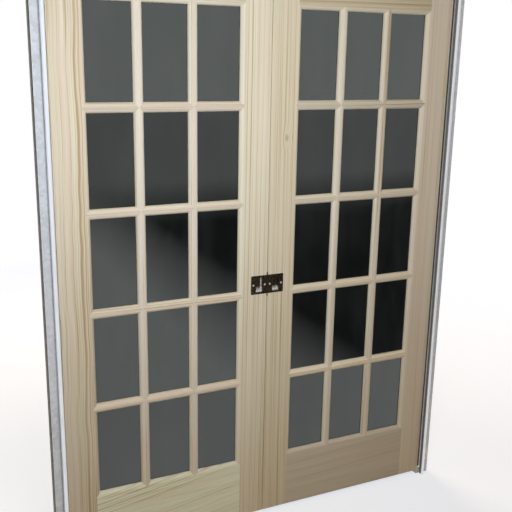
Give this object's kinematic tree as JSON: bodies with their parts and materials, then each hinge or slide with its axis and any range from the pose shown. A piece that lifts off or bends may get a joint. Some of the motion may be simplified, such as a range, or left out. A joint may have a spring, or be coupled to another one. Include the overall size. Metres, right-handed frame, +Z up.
{
  "type": "french doors",
  "caption": "Glazed pine french doors with divided lites, hung on rollers from an overhead track to slide apart into wall pockets, with split studs, header and flush pulls.",
  "frame": {"origin": "on the floor, under the line where the closed doors meet, at the middle of their thickness", "axes": "+X to the right across the opening, +Y from the pictured face to the back, +Z up"},
  "size_m": [2.968, 0.089, 2.18],
  "materials": {
    "pine": "bare, sanded",
    "framing_timber": "planed, bare",
    "white_paint": "white satin paint on timber",
    "glass": "clear float glass before a dark room, smoky",
    "dark_bronze": "dark antique bronze",
    "bright_screws": "worn bright",
    "zinc_steel": "zinc plated",
    "galvanised_steel": "galvanised, dull",
    "track_aluminium": "mill finish",
    "nylon": "moulded nylon",
    "black_rubber": "moulded rubber"
  },
  "bodies": {
    "frame": {"header_board": "framing_timber", "front_nailer": "framing_timber", "rear_nailer": "framing_timber", "track": "track_aluminium", "centre_stop": "nylon", "front_head_jamb": "white_paint", "rear_head_jamb": "white_paint", "left_front_edge_strip": "white_paint", "left_rear_edge_strip": "white_paint", "left_front_stud": "galvanised_steel", "left_rear_stud": "galvanised_steel", "left_bumper": "black_rubber", "left_end_plate": "galvanised_steel", "left_floor_guide": "nylon", "right_front_edge_strip": "white_paint", "right_rear_edge_strip": "white_paint", "right_front_stud": "galvanised_steel", "right_rear_stud": "galvanised_steel", "right_bumper": "black_rubber", "right_end_plate": "galvanised_steel", "right_floor_guide": "nylon"},
    "left_door": {"left_meeting_stile": "pine", "left_outer_stile": "pine", "left_top_rail": "pine", "left_bottom_rail": "pine", "left_upright_muntins": "pine", "left_level_muntins": "pine", "left_glass_panes": "glass", "left_glazing_beads": "pine", "left_front_pull": "dark_bronze", "left_rear_pull": "dark_bronze", "left_edge_plate": "dark_bronze", "left_pull_screws": "bright_screws", "left_hanger_bolts": "zinc_steel", "left_inner_hanger_plate": "zinc_steel", "left_outer_hanger_plate": "zinc_steel", "left_inner_trolley": "zinc_steel", "left_outer_trolley": "zinc_steel"},
    "left_inner_wheels": {"left_inner_wheels": "nylon"},
    "left_outer_wheels": {"left_outer_wheels": "nylon"},
    "right_door": {"right_meeting_stile": "pine", "right_outer_stile": "pine", "right_top_rail": "pine", "right_bottom_rail": "pine", "right_upright_muntins": "pine", "right_level_muntins": "pine", "right_glass_panes": "glass", "right_glazing_beads": "pine", "right_front_pull": "dark_bronze", "right_rear_pull": "dark_bronze", "right_edge_plate": "dark_bronze", "right_pull_screws": "bright_screws", "right_hanger_bolts": "zinc_steel", "right_inner_hanger_plate": "zinc_steel", "right_outer_hanger_plate": "zinc_steel", "right_inner_trolley": "zinc_steel", "right_outer_trolley": "zinc_steel"},
    "right_inner_wheels": {"right_inner_wheels": "nylon"},
    "right_outer_wheels": {"right_outer_wheels": "nylon"}
  },
  "joints": [
    {"name": "left_door_slide", "type": "slide", "parent": "frame", "child": "left_door", "axis": [-1, 0, 0], "range_m": [0, 0.698]},
    {"name": "left_inner_wheel_spin", "type": "hinge", "parent": "left_door", "child": "left_inner_wheels", "pos_m": [-0.061, 0, 2.0832], "axis": [0, -1, 0], "continuous": true},
    {"name": "left_outer_wheel_spin", "type": "hinge", "parent": "left_door", "child": "left_outer_wheels", "pos_m": [-0.703, 0, 2.0832], "axis": [0, -1, 0], "continuous": true},
    {"name": "right_door_slide", "type": "slide", "parent": "frame", "child": "right_door", "axis": [1, 0, 0], "range_m": [0, 0.698]},
    {"name": "right_inner_wheel_spin", "type": "hinge", "parent": "right_door", "child": "right_inner_wheels", "pos_m": [0.061, 0, 2.0832], "axis": [0, 1, 0], "continuous": true},
    {"name": "right_outer_wheel_spin", "type": "hinge", "parent": "right_door", "child": "right_outer_wheels", "pos_m": [0.703, 0, 2.0832], "axis": [0, 1, 0], "continuous": true}
  ],
  "couplings": [
    {"joint": "left_inner_wheel_spin", "follows": "left_door_slide", "rad_per_m": 90.909},
    {"joint": "left_outer_wheel_spin", "follows": "left_door_slide", "rad_per_m": 90.909},
    {"joint": "right_inner_wheel_spin", "follows": "right_door_slide", "rad_per_m": 90.909},
    {"joint": "right_outer_wheel_spin", "follows": "right_door_slide", "rad_per_m": 90.909}
  ]
}
